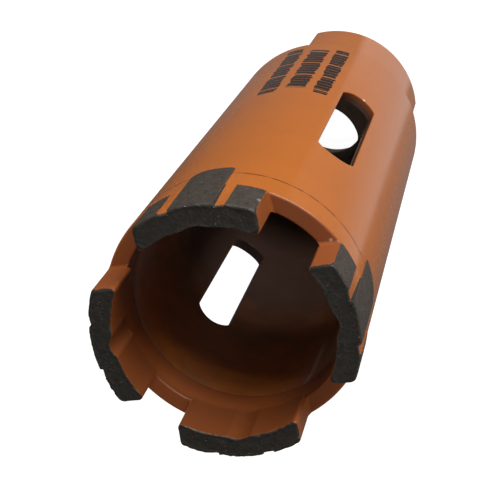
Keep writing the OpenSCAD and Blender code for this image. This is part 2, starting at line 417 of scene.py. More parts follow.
def make_hub(bit):
    """The hub: two wrench flats, bevelled rear end, spigot and the bore that carries the thread."""
    radius, flat, top = mm(bit.hub_radius), mm(bit.half_flats), mm(bit.flat_top)
    spigot, front = mm(bit.barrel_radius) - mm(bit.barrel_wall), mm(bit.hub_front)
    rear, root = mm(bit.barrel_rear), mm(bit.thread_root)
    bevel, entry, lead = mm(bit.rear_bevel), mm(bit.entry_radius), mm(bit.entry_bevel)
    low, high, relief = mm(bit.thread_low), mm(bit.thread_high), mm(bit.relief_radius)
    # Columns lie closer where a flat's corners are, and the two shapes blend softly there
    corner = math.acos(flat / radius)
    near = np.radians([-1.2, -0.7, -0.4, -0.2, 0, 0.2, 0.4, 0.7, 1.2])
    corners = [k + near for k in (corner, -corner, math.pi - corner, math.pi + corner)]
    angle = np.concatenate([np.arange(240) * math.tau / 240, *corners]) % math.tau
    angle = np.unique(np.round(angle, 5))
    plane = flat / np.maximum(np.abs(np.cos(angle)), 1e-6)
    soft, mid_face = 0.1, 17.0
    body = -soft * np.logaddexp(-radius / soft, -np.minimum(plane, 99) / soft)
    rows = [
        (entry + lead, 0.0),
        (np.minimum(body - bevel, radius - bevel), 0.0),
        (np.minimum(body, radius - bevel * 0.6), bevel * 0.4),
        (body, bevel),
        *[(body, z) for z in np.linspace(3, top - 0.5, 8)],
        (body, top - 0.3),
        (np.minimum(body + 0.09, radius), top - 0.09),
        (np.minimum(body + 0.3, radius), top),
        (np.maximum(body, radius - 0.3), top),
        (np.maximum(body, radius - 0.08), top + 0.08),
        (radius, top + 0.3),
        (radius, rear),
        (spigot, rear),
        (spigot, front - 0.4),
        (spigot - 0.4, front),
        (mid_face, front),
        (relief + 0.3, front),
        (relief, front - 0.3),
        (relief, high),
        (root, high - 0.2),
        *[(root, z) for z in np.linspace(high - 1.5, low + 1, 8)],
        (root, low + 0.2),
        (entry, low),
        (entry, lead),
        (entry + lead, 0.0),
    ]
    skin = Skin()
    skin.sheet([polar(r, angle, z) for r, z in rows], wrap=True)
    return skin.build("hub_body", crease=30)


def node(tree, kind, *given, **settings):
    """Adds a node with its settings, and sets or links its inputs.

    They are given in the order in which the node shows them, and those in a dictionary by name. Each is a
    value, a socket, or a node whose first shown output it takes. A kind without Node is a shader node.
    """
    made = tree.nodes.new(kind if "Node" in kind else "ShaderNode" + kind)
    for key, value in settings.items():
        setattr(made, key, value)
    shown = [socket for socket in made.inputs if socket.enabled]
    wanted = []
    for place, value in enumerate(given):
        if isinstance(value, dict):
            wanted += [(made.inputs[name], part) for name, part in value.items()]
        else:
            wanted.append((shown[place], value))
    for socket, value in wanted:
        if isinstance(value, bpy.types.Node):
            value = next(output for output in value.outputs if output.enabled)
        if isinstance(value, bpy.types.NodeSocket):
            tree.links.new(value, socket)
        else:
            socket.default_value = (*value, 1.0) if socket.type == "RGBA" else value
    return made


def new_tree(name, sizes):
    """A geometry tree, the node function for it, and its named inputs for the sizes it is given."""
    tree = bpy.data.node_groups.new(name, "GeometryNodeTree")
    kinds = {int: "NodeSocketInt", float: "NodeSocketFloat", bpy.types.Material: "NodeSocketMaterial"}
    tree.interface.new_socket("Geometry", in_out="INPUT", socket_type="NodeSocketGeometry")
    for key, value in sizes.items():
        tree.interface.new_socket(key, in_out="INPUT", socket_type=kinds[type(value)])
    tree.interface.new_socket("Geometry", in_out="OUTPUT", socket_type="NodeSocketGeometry")
    add = partial(node, tree)
    return tree, add, add("NodeGroupInput").outputs


def grow(name, tree, sizes, base=None):
    """Runs a geometry tree once and keeps the result as a plain mesh."""
    source = name + "_source"
    carrier = bpy.data.objects.new(source, base or bpy.data.meshes.new(source))
    bpy.context.scene.collection.objects.link(carrier)
    modifier = carrier.modifiers.new("Growth", "NODES")
    modifier.node_group = tree
    for item in tree.interface.items_tree:
        if item.in_out == "INPUT" and item.name in sizes:
            modifier[item.identifier] = sizes[item.name]
    carrier.update_tag()
    bpy.context.view_layer.update()
    grown = carrier.evaluated_get(bpy.context.evaluated_depsgraph_get())
    mesh = bpy.data.meshes.new_from_object(grown)
    carrier.modifiers.remove(modifier)
    bpy.data.objects.remove(carrier)
    mesh.name = name
    piece = bpy.data.objects.new(name, mesh)
    bpy.context.scene.collection.objects.link(piece)
    return piece


def close_tree(add, given, geometry):
    """Ends a geometry tree: real faces in the given material."""
    real = add("GeometryNodeRealizeInstances", geometry)
    dressed = add("GeometryNodeSetMaterial", real, {"Material": given["Material"]})
    add("NodeGroupOutput", dressed)


def make_thread(bit, material):
    """The turns of the half-inch pipe thread, one ridge swept along a helix."""
    low, high = mm(bit.thread_low) + 0.4, mm(bit.thread_high) - 0.5
    sizes = {
        "Radius": bit.thread_root + 0.02 * MM,
        "Turns": (high - low) / mm(bit.thread_pitch),
        "Rise": (high - low) * MM,
        "Start": low * MM,
        "Ridge": bit.thread_root - bit.thread_crest,
        "Pitch": bit.thread_pitch,
        "Material": material,
    }
    tree, add, given = new_tree("Pipe thread", sizes)
    spiral = {
        "Resolution": 96,
        "Rotations": given["Turns"],
        "Start Radius": given["Radius"],
        "End Radius": given["Radius"],
        "Height": given["Rise"],
        "Reverse": False,
    }
    helix = add("GeometryNodeCurveSpiral", spiral)
    upright = add("GeometryNodeSetCurveNormal", helix, mode="Z_UP")
    # The ridge grows from nothing and runs out over two fifths of a turn at each end
    along = add("GeometryNodeSplineParameter").outputs["Factor"]
    rise = add("MapRange", along, 0.0, 0.04)
    fall = add("MapRange", along, 1.0, 0.96)
    both = add("Math", rise, fall, operation="MINIMUM")
    # A ridge with a narrow flat crest; the shares of the pitch are its half widths at the root and crest
    half = add("Math", given["Pitch"], 0.47, operation="MULTIPLY")
    crest = add("Math", given["Pitch"], 0.09, operation="MULTIPLY")
    corners = {}
    for inward, sign, size in ((0.0, 1.0, half), (0.0, -1.0, half), (1.0, -1.0, crest), (1.0, 1.0, crest)):
        across = add("Math", size, sign, operation="MULTIPLY")
        deep = add("Math", given["Ridge"], inward, operation="MULTIPLY")
        corners[f"Point {len(corners) + 1}"] = add("CombineXYZ", deep, across)
    shape = add("GeometryNodeCurvePrimitiveQuadrilateral", corners, mode="POINTS")
    ridge = add("GeometryNodeCurveToMesh", upright, shape, both, True)
    lift = add("CombineXYZ", {"Z": given["Start"]})
    close_tree(add, given, add("GeometryNodeTransform", ridge, {"Translation": lift}))
    return grow("hub_thread_turns", tree, sizes)


def make_weld(bit, material):
    """The fillet weld behind the tube: overlapping ripples laid round the hub."""
    sizes = {
        "Radius": bit.hub_radius + 0.35 * MM,
        "Height": bit.barrel_rear - 0.45 * MM,
        "Bead": 1.3 * MM,
        "Ripples": 88,
        "Material": material,
    }
    tree, add, given = new_tree("Ripple weld", sizes)
    ring = add("GeometryNodeCurvePrimitiveCircle", 1056, given["Radius"], mode="RADIUS")
    along = add("GeometryNodeSplineParameter").outputs["Factor"]
    beat = add("Math", along, given["Ripples"], operation="MULTIPLY")
    swell = add("FloatCurve", {"Value": add("Math", beat, operation="FRACT")})
    # Each ripple rises steeply and falls away slowly
    ripple = swell.mapping.curves[0].points
    ripple[0].location, ripple[-1].location = (0.0, 0.0), (1.0, 0.05)
    ripple.new(0.12, 0.75)
    ripple.new(0.45, 1.0)
    swell.mapping.update()
    place = add("GeometryNodeInputPosition")
    rough = add("TexNoise", {"Vector": place, "Scale": 260.0, "Detail": 2.0})
    wander = add("Math", rough, 0.16, 0.84, operation="MULTIPLY_ADD")
    scale = add("Math", swell, 0.13, wander, operation="MULTIPLY_ADD")
    shape = add("GeometryNodeCurvePrimitiveCircle", 20, given["Bead"], mode="RADIUS")
    bead = add("GeometryNodeCurveToMesh", ring, shape, scale, False)
    lift = add("CombineXYZ", {"Z": given["Height"]})
    moved = add("GeometryNodeTransform", bead, {"Translation": lift})
    close_tree(add, given, add("GeometryNodeSetShadeSmooth", moved, {"Shade Smooth": True}))
    return grow("weld_ripples", tree, sizes)


# Segments


def dent(distance, reach):
    """1 at the middle, falling softly to 0 at the reach."""
    share = np.clip(1 - np.abs(distance) / reach, 0, 1)
    return share * share * (3 - 2 * share)


def fade(distance, reach):
    """1 at an edge, falling to 0 at the reach, quickly at first."""
    return max(0.0, 1 - distance / reach) ** 2


def make_segment(bit, name):
    """One segment: three pads, two outer grooves, an inner one, a tail let into the tube and worn edges."""
    place, way, wear, far_groove, inner_groove = PLACES[name]
    knocks = KNOCKS[name]
    seed = list(PLACES).index(name) * 17.3
    out_r, in_r, root, tip = mm(bit.cutting_radius), mm(bit.core_radius), mm(bit.gullet), mm(bit.tip)
    near_side, far_side = mm(bit.near_side), mm(bit.far_side)
    half = mm(bit.long_pad) / 2
    far = half + mm(bit.groove)
    ring_r, floor_x = mm(bit.barrel_radius), mm(bit.groove_floor)
    let_in = 1.0
    tail_r, tail_end = ring_r - let_in, mm(bit.long_pad_end)
    fillet, corner, chip = mm(bit.foot_fillet), mm(bit.worn_corner), mm(bit.chip)
    # Radii of the tail's two lower corners, and how far the segment's underside is sunk in the ring
    tight, blunt, bed = 0.9, 3.2, 0.05

    # Stations across the segment, closer where a groove's wall or a side stands
    close = np.array([-0.3, -0.12, -0.04, 0, 0.03, 0.06, 0.1, 0.16, 0.25, 0.4])
    by_side = np.array([0.04, 0.1, 0.18, 0.28, 0.42, 0.6])
    fine = [edge + inward * close for edge, inward in ((half, 1), (far, -1), (-half, -1), (-far, 1))]
    fine += [by_side - near_side, far_side - by_side, [half + 0.001, -half - 0.001]]
    stations = np.concatenate([np.linspace(-near_side, far_side, 122), *fine])
    stations = np.unique(np.round(stations, 5))
    # How far a groove's wall has gone down at some distances from its edge
    wall_at, wall_share = [0, 0.03, 0.06, 0.1, 0.16, 0.25, 0.4], [0, 0.12, 0.55, 0.8, 0.92, 0.98, 1]
    foot_steps = np.array([0, 0.04, 0.1, 0.18, 0.28, 0.4, 0.56, 0.8]) * fillet / 0.8
    climb = np.linspace(0, 1, 22)[1:]

    def wander(x, y, size, kind):
        """Smooth noise about 0, as wide as the size, that differs with the kind and the segment."""
        return noise.noise(Vector((x / size + seed, y / size + kind * 7.1, kind * 3.7 + seed)))

    def rising(top):
        """Heights from the gullet floor up a wall, close together in the foot's fillet."""
        return np.concatenate([root + foot_steps, root + fillet + climb * (top - root - fillet)])

    def section(y):
        """Distance from the axis, height and how bare it is, round one cross-section."""
        into_groove = min(abs(y) - half, far - abs(y))
        sunk = float(np.interp(into_groove, wall_at, wall_share)) if into_groove > 0 else 0.0
        to_side = min(y + near_side, far_side - y)
        corner_worn, plan_worn = fade(to_side, corner), fade(to_side, 1.3)
        knock = {
            side: sum(deep * float(dent(y - at, reach)) for edge, at, reach, deep in knocks if edge == side)
            for side in (OUTER, INNER)
        }
        hollow = max(0.0, 1 - (abs(y) / (mm(bit.inner_groove) + 0.15)) ** 2.2) ** 1.3
        inner = in_r + mm(bit.inner_groove_depth) * inner_groove * hollow
        inner += 0.12 * corner_worn + 0.85 * fade(to_side, 1.1)
        pad = out_r - 0.2 * corner_worn
        tip_floor = math.hypot(floor_x, y)
        if y > 0:
            tip_floor = pad - 0.5 - (pad - 0.5 - tip_floor) * far_groove
        # Distance inside a pad, along the segment
        if abs(y) <= half:
            within = half - abs(y)
        elif abs(y) >= far:
            within = min(abs(y) - far, to_side)
        else:
            within = -sunk
        outer_jags = wander(y, 0, 2.1, OUTER_WAVES) + 0.9 * wander(y, 0, 0.7, OUTER_TEETH) - 0.08
        inner_jags = wander(y, 9, 2.6, INNER_WAVES) + 0.8 * wander(y, 9, 0.8, INNER_TEETH) + 0.02
        chip_out = wear * chip * max(0, outer_jags) * 1.3 + knock[OUTER]
        chip_in = wear * chip * max(0, inner_jags) * 1.3 + knock[INNER]

        def rim(z):
            """Radius of the outer wall: the pad, or the groove's floor that sinks towards the tips."""
            floor = ring_r + (tip_floor - ring_r) * (z - root) / (tip - root)
            return pad - sunk * (pad - min(floor, pad))

        # The face lies a little under the tip height, so that the grains end below it
        shrink, room_for_grains = 1 - 0.6 * sunk, 0.1
        top = tip - room_for_grains - 0.18 * corner_worn
        out_top = top - 1.1 * shrink - 0.7 * min(chip_out, 1)
        in_top = top - 0.25 - 0.5 * chip_in
        face_out = rim(tip) - 0.45 * shrink - chip_out * shrink - 0.45 * plan_worn
        face_in = inner + 0.12 + chip_in + 0.3 * plan_worn
        points = []

        def add(r, z, mark):
            points.append((r, z, mark))

        low = root
        if abs(y) <= half:
            low = tail_end
            if y < -half + tight:
                low += tight - math.sqrt(max(tight**2 - (y + half - tight) ** 2, 0))
            if y > half - blunt:
                low += blunt - math.sqrt(max(blunt**2 - (y - half + blunt) ** 2, 0))
        on_tail = low < root
        side_r = rim(root)
        for t in np.linspace(0, 1, 4)[:-1]:
            add(inner + (tail_r - inner) * t, root - bed, -2)
        for t in np.linspace(0, 1, 8)[:-1]:
            add(tail_r, root - bed + (low - root + bed) * t if on_tail else root - bed, -2)
        for t in (0, 0.5, 0.93):
            add(tail_r + (side_r - tail_r) * t, low, -1 + t)
        for t in np.linspace(0, 1, 15)[:-1]:
            z = low + (root - low) * t
            add(side_r, z, min(within, z - low) if on_tail else -bed)
        outer_from = len(points)
        for z in rising(out_top):
            mark = within if on_tail else min(within, z - root)
            if sunk > 0:
                mark = max(0.02 - sunk * (pad - rim(z)), 0.2 - (abs(y) - half))
            if sunk > 0.5:
                mark = max(mark, 0.15 - (out_top - z))
            pitted = mark > 0.25 and z > root + 0.5
            pit = 0.07 * max(0, wander(y, z, 0.55, PITS) - 0.42) / 0.3 if pitted else 0
            add(rim(z) - pit, z, mark)
        outer_to = len(points) - 1
        for a in arc(7)[1:-1]:
            jag = wear * 0.08 * wander(y, 20 * a, 0.6, OUTER_JAGS)
            r = face_out + (rim(out_top) - face_out) * math.cos(a) ** 0.85 + jag
            z = out_top + (top - out_top) * math.sin(a) ** 0.85 + min(0, jag)
            add(r, z, 0.15 if sunk > 0.5 else min(max(within, 0.2), a))
        for t in np.linspace(0, 1, 19):
            r = face_out + (face_in - face_out) * t
            rough = 0.04 * (wander(y, r, 0.5, FACE_GRAIN) - 0.6)
            rough += 0.07 * (wander(y, r, 2.4, FACE_WAVES) - 0.8)
            z = top + min(0, rough) * min(1, 6 * min(t, 1 - t) + 0.3)
            add(r, z, min(face_out - r, r - face_in) + 0.25)
        for a in arc(6)[1:-1]:
            jag = wear * 0.08 * wander(y, 30 + 20 * a, 0.6, INNER_JAGS)
            r = inner + (face_in - inner) * (1 - math.sin(a)) + jag
            add(r, in_top + (top - in_top) * math.cos(a) - abs(jag), 0.2 - a * 0.2)
        for z in rising(in_top)[::-1]:
            add(inner, z, -0.1 - (in_top - z))
        return np.array(points), outer_from, outer_to

    sections = [section(y) for y in stations]
    _, outer_from, outer_to = sections[-1]
    r, z, mark = np.moveaxis(np.array([points for points, _, _ in sections]), -1, 0).copy()
    y = np.repeat(stations[:, None], r.shape[1], 1)
    inner_from = r.shape[1] - len(foot_steps) - len(climb)

    def foot(y, r, z, outward):
        """Spreads a side's foot into a fillet that follows the ring's rounded edge."""
        height = np.clip(z - root, 0, fillet)
        spread = fillet - np.sqrt(np.maximum(fillet**2 - (fillet - height) ** 2, 0))
        share = spread / fillet
        edge = mm(bit.gullet_edge)
        r = np.minimum(r, out_r - (out_r - ring_r) * share)
        r = np.maximum(r, in_r + (mm(bit.ring_inner) - in_r) * share)
        drop = edge - np.sqrt(np.maximum(edge**2 - np.maximum(r - ring_r + edge, 0) ** 2, 0))
        return y + outward * spread, r, z - share * (drop + 0.04)

    def mapped(y, r, z):
        return polar(r, math.radians(place) + way * np.arcsin(y / r), z)

    def closed(grid):
        return np.concatenate([grid, grid[:, :1]], 1)

    # The two sides: rows from the outer wall to the inner one, then the worn top edge
    caps = []
    for column, outward in ((0, -1), (-1, 1)):
        side_r, side_z, side_mark = r[column], z[column], mark[column]
        across = np.linspace(0, 1, inner_from - outer_to + 1)
        grid = []
        for i in range(outer_from, outer_to):
            j = len(side_r) - 1 - (i - outer_from)
            cap_r = side_r[i] + (side_r[j] - side_r[i]) * across
            cap_z = side_z[i] + (side_z[j] - side_z[i]) * across
            grid.append((cap_r, cap_z, -np.clip(np.minimum(tip - cap_z, out_r - cap_r + 0.1), 0, 2)))
        top = slice(outer_to, inner_from + 1)
        grid.append((side_r[top], side_z[top], side_mark[top]))
        grid = np.array(grid)
        side_y = np.full(grid[:, 0].shape, stations[column])
        caps.append((*foot(side_y, grid[:, 0], grid[:, 1], outward), grid[:, 2]))
        y[column], r[column], z[column] = foot(y[column], side_r, side_z, outward)

    skin = Skin()
    skin.sheet(mapped(closed(y), closed(r), closed(z)), marks=closed(mark))
    for column, (cap_y, cap_r, cap_z, cap_mark) in zip((0, -1), caps):
        skin.sheet(mapped(cap_y, cap_r, cap_z), marks=cap_mark)
        # The strip under the side, between the feet of its two walls
        under = [np.concatenate([part[column][-1:], part[column][: outer_from + 1]]) for part in (y, r, z)]
        spread = np.linspace(0, 1, len(under[0]))
        feet = [row[0][::-1] for row in (cap_y, cap_r, cap_z)]
        toe = [np.interp(spread, np.linspace(0, 1, len(row)), row) for row in feet]
        skin.sheet([mapped(*under), mapped(*toe)], marks=-2.0)
    return skin.build(name.replace("segment", "segment_body"), mark_name="bare", crease=38)


def make_grit(bit, bodies, material):
    """Diamond grains that stand out of the ground metal, scattered on the bare parts of the segments."""
    joined = bpy.data.meshes.new("grit_bed")
    bed = bmesh.new()
    for body in bodies:
        bed.from_mesh(body.data)
    bed.to_mesh(joined)
    bed.free()
    sizes = {"Grain": bit.grit_size, "Per square metre": 1.1e6, "Seed": 7, "Material": material}
    tree, add, given = new_tree("Exposed grit", sizes)
    bare = add("GeometryNodeInputNamedAttribute", {"Name": "bare"}, data_type="FLOAT")
    chosen = add("FunctionNodeCompare", bare, 0.3, data_type="FLOAT", operation="GREATER_THAN")
    spread = {"Selection": chosen, "Density": given["Per square metre"], "Seed": given["Seed"]}
    spots = add("GeometryNodeDistributePointsOnFaces", given["Geometry"], spread)
    grain_shape = add("GeometryNodeMeshIcoSphere", given["Grain"], 1)
    size = add("FunctionNodeRandomValue", 0.22, 0.5, {"Seed": 3}, data_type="FLOAT")
    full_turn = (6.28, 6.28, 6.28)
    spin = add("FunctionNodeRandomValue", (0, 0, 0), full_turn, {"Seed": 5}, data_type="FLOAT_VECTOR")
    # Each grain is sunk by most of its height
    depth = add("Math", given["Grain"], -0.28, operation="MULTIPLY")
    sink = add("VectorMath", spots.outputs["Normal"], depth, operation="SCALE")
    shifted = add("GeometryNodeSetPosition", spots, {"Offset": sink})
    laid = {"Instance": grain_shape, "Rotation": spin, "Scale": size}
    close_tree(add, given, add("GeometryNodeInstanceOnPoints", shifted, laid))
    return grow("diamond_grit", tree, sizes, joined)


# Materials


def new_material(name):
    """A material with an empty shader tree, and the node function for that tree."""
    made = bpy.data.materials.new(name)
    made.use_nodes = True
    made.node_tree.nodes.clear()
    return made, partial(node, made.node_tree)


def grain(add, size, detail=2.0, stretch=(1, 1, 1), offset=0.0):
    """Noise whose features are about as wide as the size in millimetres, on object coordinates."""
    place = add("TexCoord").outputs["Object"]
    scale = tuple(1 / (size * MM * part) for part in stretch)
    placed = add("Mapping", {"Vector": place, "Scale": scale, "Location": (offset, offset, 0)})
    return add("TexNoise", {"Vector": placed, "Scale": 1.0, "Detail": detail, "Roughness": 0.55})


def places(add):
    """Object coordinates, taken apart, with the way from the drilling axis and its length."""
    x, y, z = add("SeparateXYZ", add("TexCoord").outputs["Object"]).outputs
    flat = add("CombineXYZ", x, y)
    return x, y, z, flat, add("VectorMath", flat, operation="LENGTH")


def bearing(add):
    """Angle round the drilling axis, in degrees."""
    x, y, *_ = places(add)
    return add("Math", add("Math", y, x, operation="ARCTAN2"), operation="DEGREES")


def distance_from(add, value, middle):
    """How far a value lies from a middle one, on either side."""
    return add("Math", add("Math", value, middle, operation="SUBTRACT"), operation="ABSOLUTE")


def where_all(add, *masks):
    """1 where all the masks are 1, and in between where some fade."""
    together = masks[0]
    for mask in masks[1:]:
        together = add("Math", together, mask, operation="MULTIPLY")
    return together


def outward(add, low=0.72, high=0.98):
    """1 on faces that look away from the drilling axis, 0 on those that look along it or at it."""
    away = add("VectorMath", places(add)[3], operation="NORMALIZE")
    normal = add("TexCoord").outputs["Normal"]
    return add("MapRange", add("VectorMath", normal, away, operation="DOT_PRODUCT"), low, high)


def spot(add, middle, radius):
    """1 in a small patch with an uneven edge round a place, 0 elsewhere."""
    far_off = add("VectorMath", add("TexCoord").outputs["Object"], middle, operation="DISTANCE")
    uneven = add("Math", grain(add, 0.5, 2, offset=13), radius, far_off, operation="MULTIPLY_ADD")
    return add("MapRange", uneven, radius, 1.6 * radius, 0.9, 0.0)


def enamel_parts(add, colours):
    """Colour, roughness and height of the sprayed enamel, for any material that shows some."""
    # Slight cloudiness from the hand-held spray, 12 mm across
    cloud = add("MapRange", grain(add, 12, 3), 0.3, 0.75)
    tone = add("Mix", cloud, toned(colours.enamel, 0.94), colours.enamel, data_type="RGBA")
    # The spray came from the side, so what looks up, down or inwards has a thin dull coat; its darker colour
    # is partly the thin coat and partly painted shade, and faces inside the crown that look at the axis are
    # darker still, as painted shade
    coat, z = outward(add), places(add)[2]
    at_crown, inward_shade = add("MapRange", z, 0.146, 0.149), outward(add, -0.9, -0.3)
    on_tube, crown_inner_shade = toned(colours.thin_coat_and_shade, 0.95), toned(colours.thin_coat_and_shade, 0.56)
    inner_coat_and_shade = add("Mix", at_crown, on_tube, crown_inner_shade, data_type="RGBA")
    thin = add("Mix", inward_shade, inner_coat_and_shade, colours.thin_coat_and_shade, data_type="RGBA")
    tone = add("Mix", coat, thin, tone, data_type="RGBA")
    # Fine dirt specks, 0.5 mm
    coats = [(add("MapRange", grain(add, 0.5, 1, offset=3), 0.74, 0.78, 0.0, 0.3), colours.dirt)]
    # Soft brown grime in the seam, broken every few millimetres
    off = distance_from(add, z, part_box("barrel")[1].z)
    by_seam = add("MapRange", off, 0.0001, 0.0004, 0.95, 0.0)
    broken = add("MapRange", grain(add, 2.5, 2, offset=8), 0.4, 0.5, 0.35, 1.0)
    coats.append((where_all(add, by_seam, broken), colours.seam_grime))
    # Painted highlights: small bright spots on a slot's end and at a segment's foot
    coats += [(spot(add, *chip), colours.painted_glint) for chip in PAINTED_GLINTS]
    for mask, coat_colour in coats:
        tone = add("Mix", mask, tone, coat_colour, data_type="RGBA")
    gloss = add("MapRange", grain(add, 3, 2, offset=9), 0.3, 0.7, 0.12, 0.19)
    gloss = add("Math", gloss, add("MapRange", coat, 0.0, 1.0, 0.26, 0.0), operation="ADD")
    # Orange peel, 1.1 mm across, over the steel's turning marks, drawn 0.7 mm apart so that they show
    peel = add("Math", grain(add, 1.1, 1), 0.6, operation="MULTIPLY")
    turned = grain(add, 0.7, 1, stretch=(60, 60, 1))
    return tone, gloss, add("Math", turned, 0.22, peel, operation="MULTIPLY_ADD")


def make_enamel(name, colours, ticks=False):
    """Solvent enamel sprayed in one coat over turned steel: glossy, with orange peel and turning marks."""
    made, add = new_material(name)
    tone, gloss, height = enamel_parts(add, colours)
    if ticks:
        tone = add("Mix", tick_mask(add), tone, colours.ink, data_type="RGBA")
    bump = add("Bump", {"Strength": 0.3, "Distance": FINE_BUMP, "Height": height})
    add("OutputMaterial", add("BsdfPrincipled", {"Base Color": tone, "Roughness": gloss, "Normal": bump}))
    return made


def tick_mask(add):
    """Three rows of plain ticks in worn ink, 1 where there is ink."""
    _, _, z, _, away = places(add)
    angle = bearing(add)
    # One tick after another up the tube, with a wider gap after every fifth
    tick = add("Math", add("Math", z, 1 / TICK_RISE, operation="MULTIPLY"), operation="FRACT")
    group = add("Math", add("Math", z, 1 / GAP_RISE, operation="MULTIPLY"), operation="FRACT")
    inked = add("Math", tick, 0.93, operation="LESS_THAN")
    bar = where_all(add, inked, add("Math", group, 0.06, operation="GREATER_THAN"))
    rows = 0.0
    for middle, half, low, high in TICK_ROWS:
        # The ends of the ticks vary a little, as worn ink does
        end = add("MapRange", grain(add, 2.2, 0, offset=middle), 0.35, 0.65, half * 0.8, half)
        near = add("Math", distance_from(add, angle, float(middle)), end, operation="LESS_THAN")
        above = add("Math", z, low * MM, operation="GREATER_THAN")
        below = add("Math", z, high * MM, operation="LESS_THAN")
        rows = add("Math", rows, where_all(add, near, bar, above, below), operation="MAXIMUM")
    tube_skin = 0.0255
    outside = add("Math", away, tube_skin, operation="GREATER_THAN")
    worn = add("MapRange", grain(add, 0.9, 2, offset=5), 0.3, 0.38, 0.8, 1.0)
    return where_all(add, rows, outside, worn)


def make_inside(name, colours):
    """Drawn steel inside the tube: dull, with orange overspray that fades away from the mouth; the darkening
    deeper in is partly painted shade.
    """
    made, add = new_material(name)
    x, y, z, _, away = places(add)
    uneven = add("Math", grain(add, 9, 3), 0.02, z, operation="MULTIPLY_ADD")
    # Orange near the mouth, darker deeper in: partly overspray, partly painted shade
    spray = add("MapRange", uneven, 0.104, 0.146)
    tone = add("Mix", spray, colours.inside, toned(colours.enamel, 0.9), data_type="RGBA")
    mottled = add("MapRange", grain(add, 4, 3, offset=2), 0.35, 0.7, 0.0, 0.3)
    # The slots' walls, by metres from the axis: the rear one darkened as painted shade, thin enamel on the
    # outer half of the front one
    in_wall = add("MapRange", away, 0.0232, 0.0234)
    rear_slot_shade = where_all(add, in_wall, add("Math", y, 0.0, operation="GREATER_THAN"))
    outer_half = add("MapRange", away, 0.0241, 0.0252)
    front_cut = where_all(add, outer_half, add("Math", y, 0.0, operation="LESS_THAN"))
    # A painted highlight: a thin bright line on one side wall of the front slot, near its inner edge
    scraped = where_all(
        add,
        in_wall,
        add("MapRange", away, 0.0237, 0.0239, 1.0, 0.0),
        add("Math", y, -0.02, operation="LESS_THAN"),
        add("Math", x, -0.004, operation="LESS_THAN"),
        add("MapRange", z, 0.076, 0.084),
        add("Math", z, 0.113, operation="LESS_THAN"),
        add("MapRange", grain(add, 1.2, 2, offset=4), 0.35, 0.55, 0.4, 1.0),
    )
    # A painted reflection: a pale streak that slants over the inner wall under segment 3, by so many degrees
    # a metre, through an angle at a height
    slope, crossing, crossing_z = 180.0, 161.0, 0.1248
    slant = add("Math", z, slope, bearing(add), operation="MULTIPLY_ADD")
    off = distance_from(add, slant, crossing + slope * crossing_z)
    fades = add("MapRange", off, 0.6, 2.2, 0.55, 0.0)
    painted_streak = where_all(add, fades, add("MapRange", z, 0.118, 0.128))
    # The rear slot's darkening is painted shade; the slot line and the streak are painted highlights
    for mask, coat_colour in (
        (mottled, toned(colours.inside, 0.6)),
        (rear_slot_shade, toned(colours.inside, 0.2)),
        (front_cut, toned(colours.thin_coat_and_shade, 0.8)),
        (scraped, colours.painted_glint),
        (painted_streak, colours.painted_glint),
    ):
        tone = add("Mix", mask, tone, coat_colour, data_type="RGBA")
    # Drawing lines run along the tube, 0.5 mm apart
    lines = grain(add, 0.5, 1, stretch=(1, 1, 60))
    bump = add("Bump", {"Strength": 0.4, "Distance": FINE_BUMP, "Height": lines})
    rough = add("MapRange", spray, 0.0, 1.0, 0.5, 0.3)
    add("OutputMaterial", add("BsdfPrincipled", {"Base Color": tone, "Roughness": rough, "Normal": bump}))
    return made


def make_steel(name, colours):
    """Machined carbon steel, dull with old oil: grey-brown metal with tool marks round the bore."""
    made, add = new_material(name)
    oiled = add("MapRange", grain(add, 1.5, 3), 0.35, 0.7)
    tone = add("Mix", oiled, colours.steel, toned(colours.steel, 0.75), data_type="RGBA")
    marks = grain(add, 0.35, 1, stretch=(30, 30, 1))
    bump = add("Bump", {"Strength": 0.4, "Distance": FINE_BUMP, "Height": marks})
    rough = add("MapRange", grain(add, 0.8, 2), 0.3, 0.7, 0.4, 0.6)
    looks = {"Base Color": tone, "Metallic": 0.6, "Roughness": rough, "Normal": bump}
    add("OutputMaterial", add("BsdfPrincipled", looks))
    return made


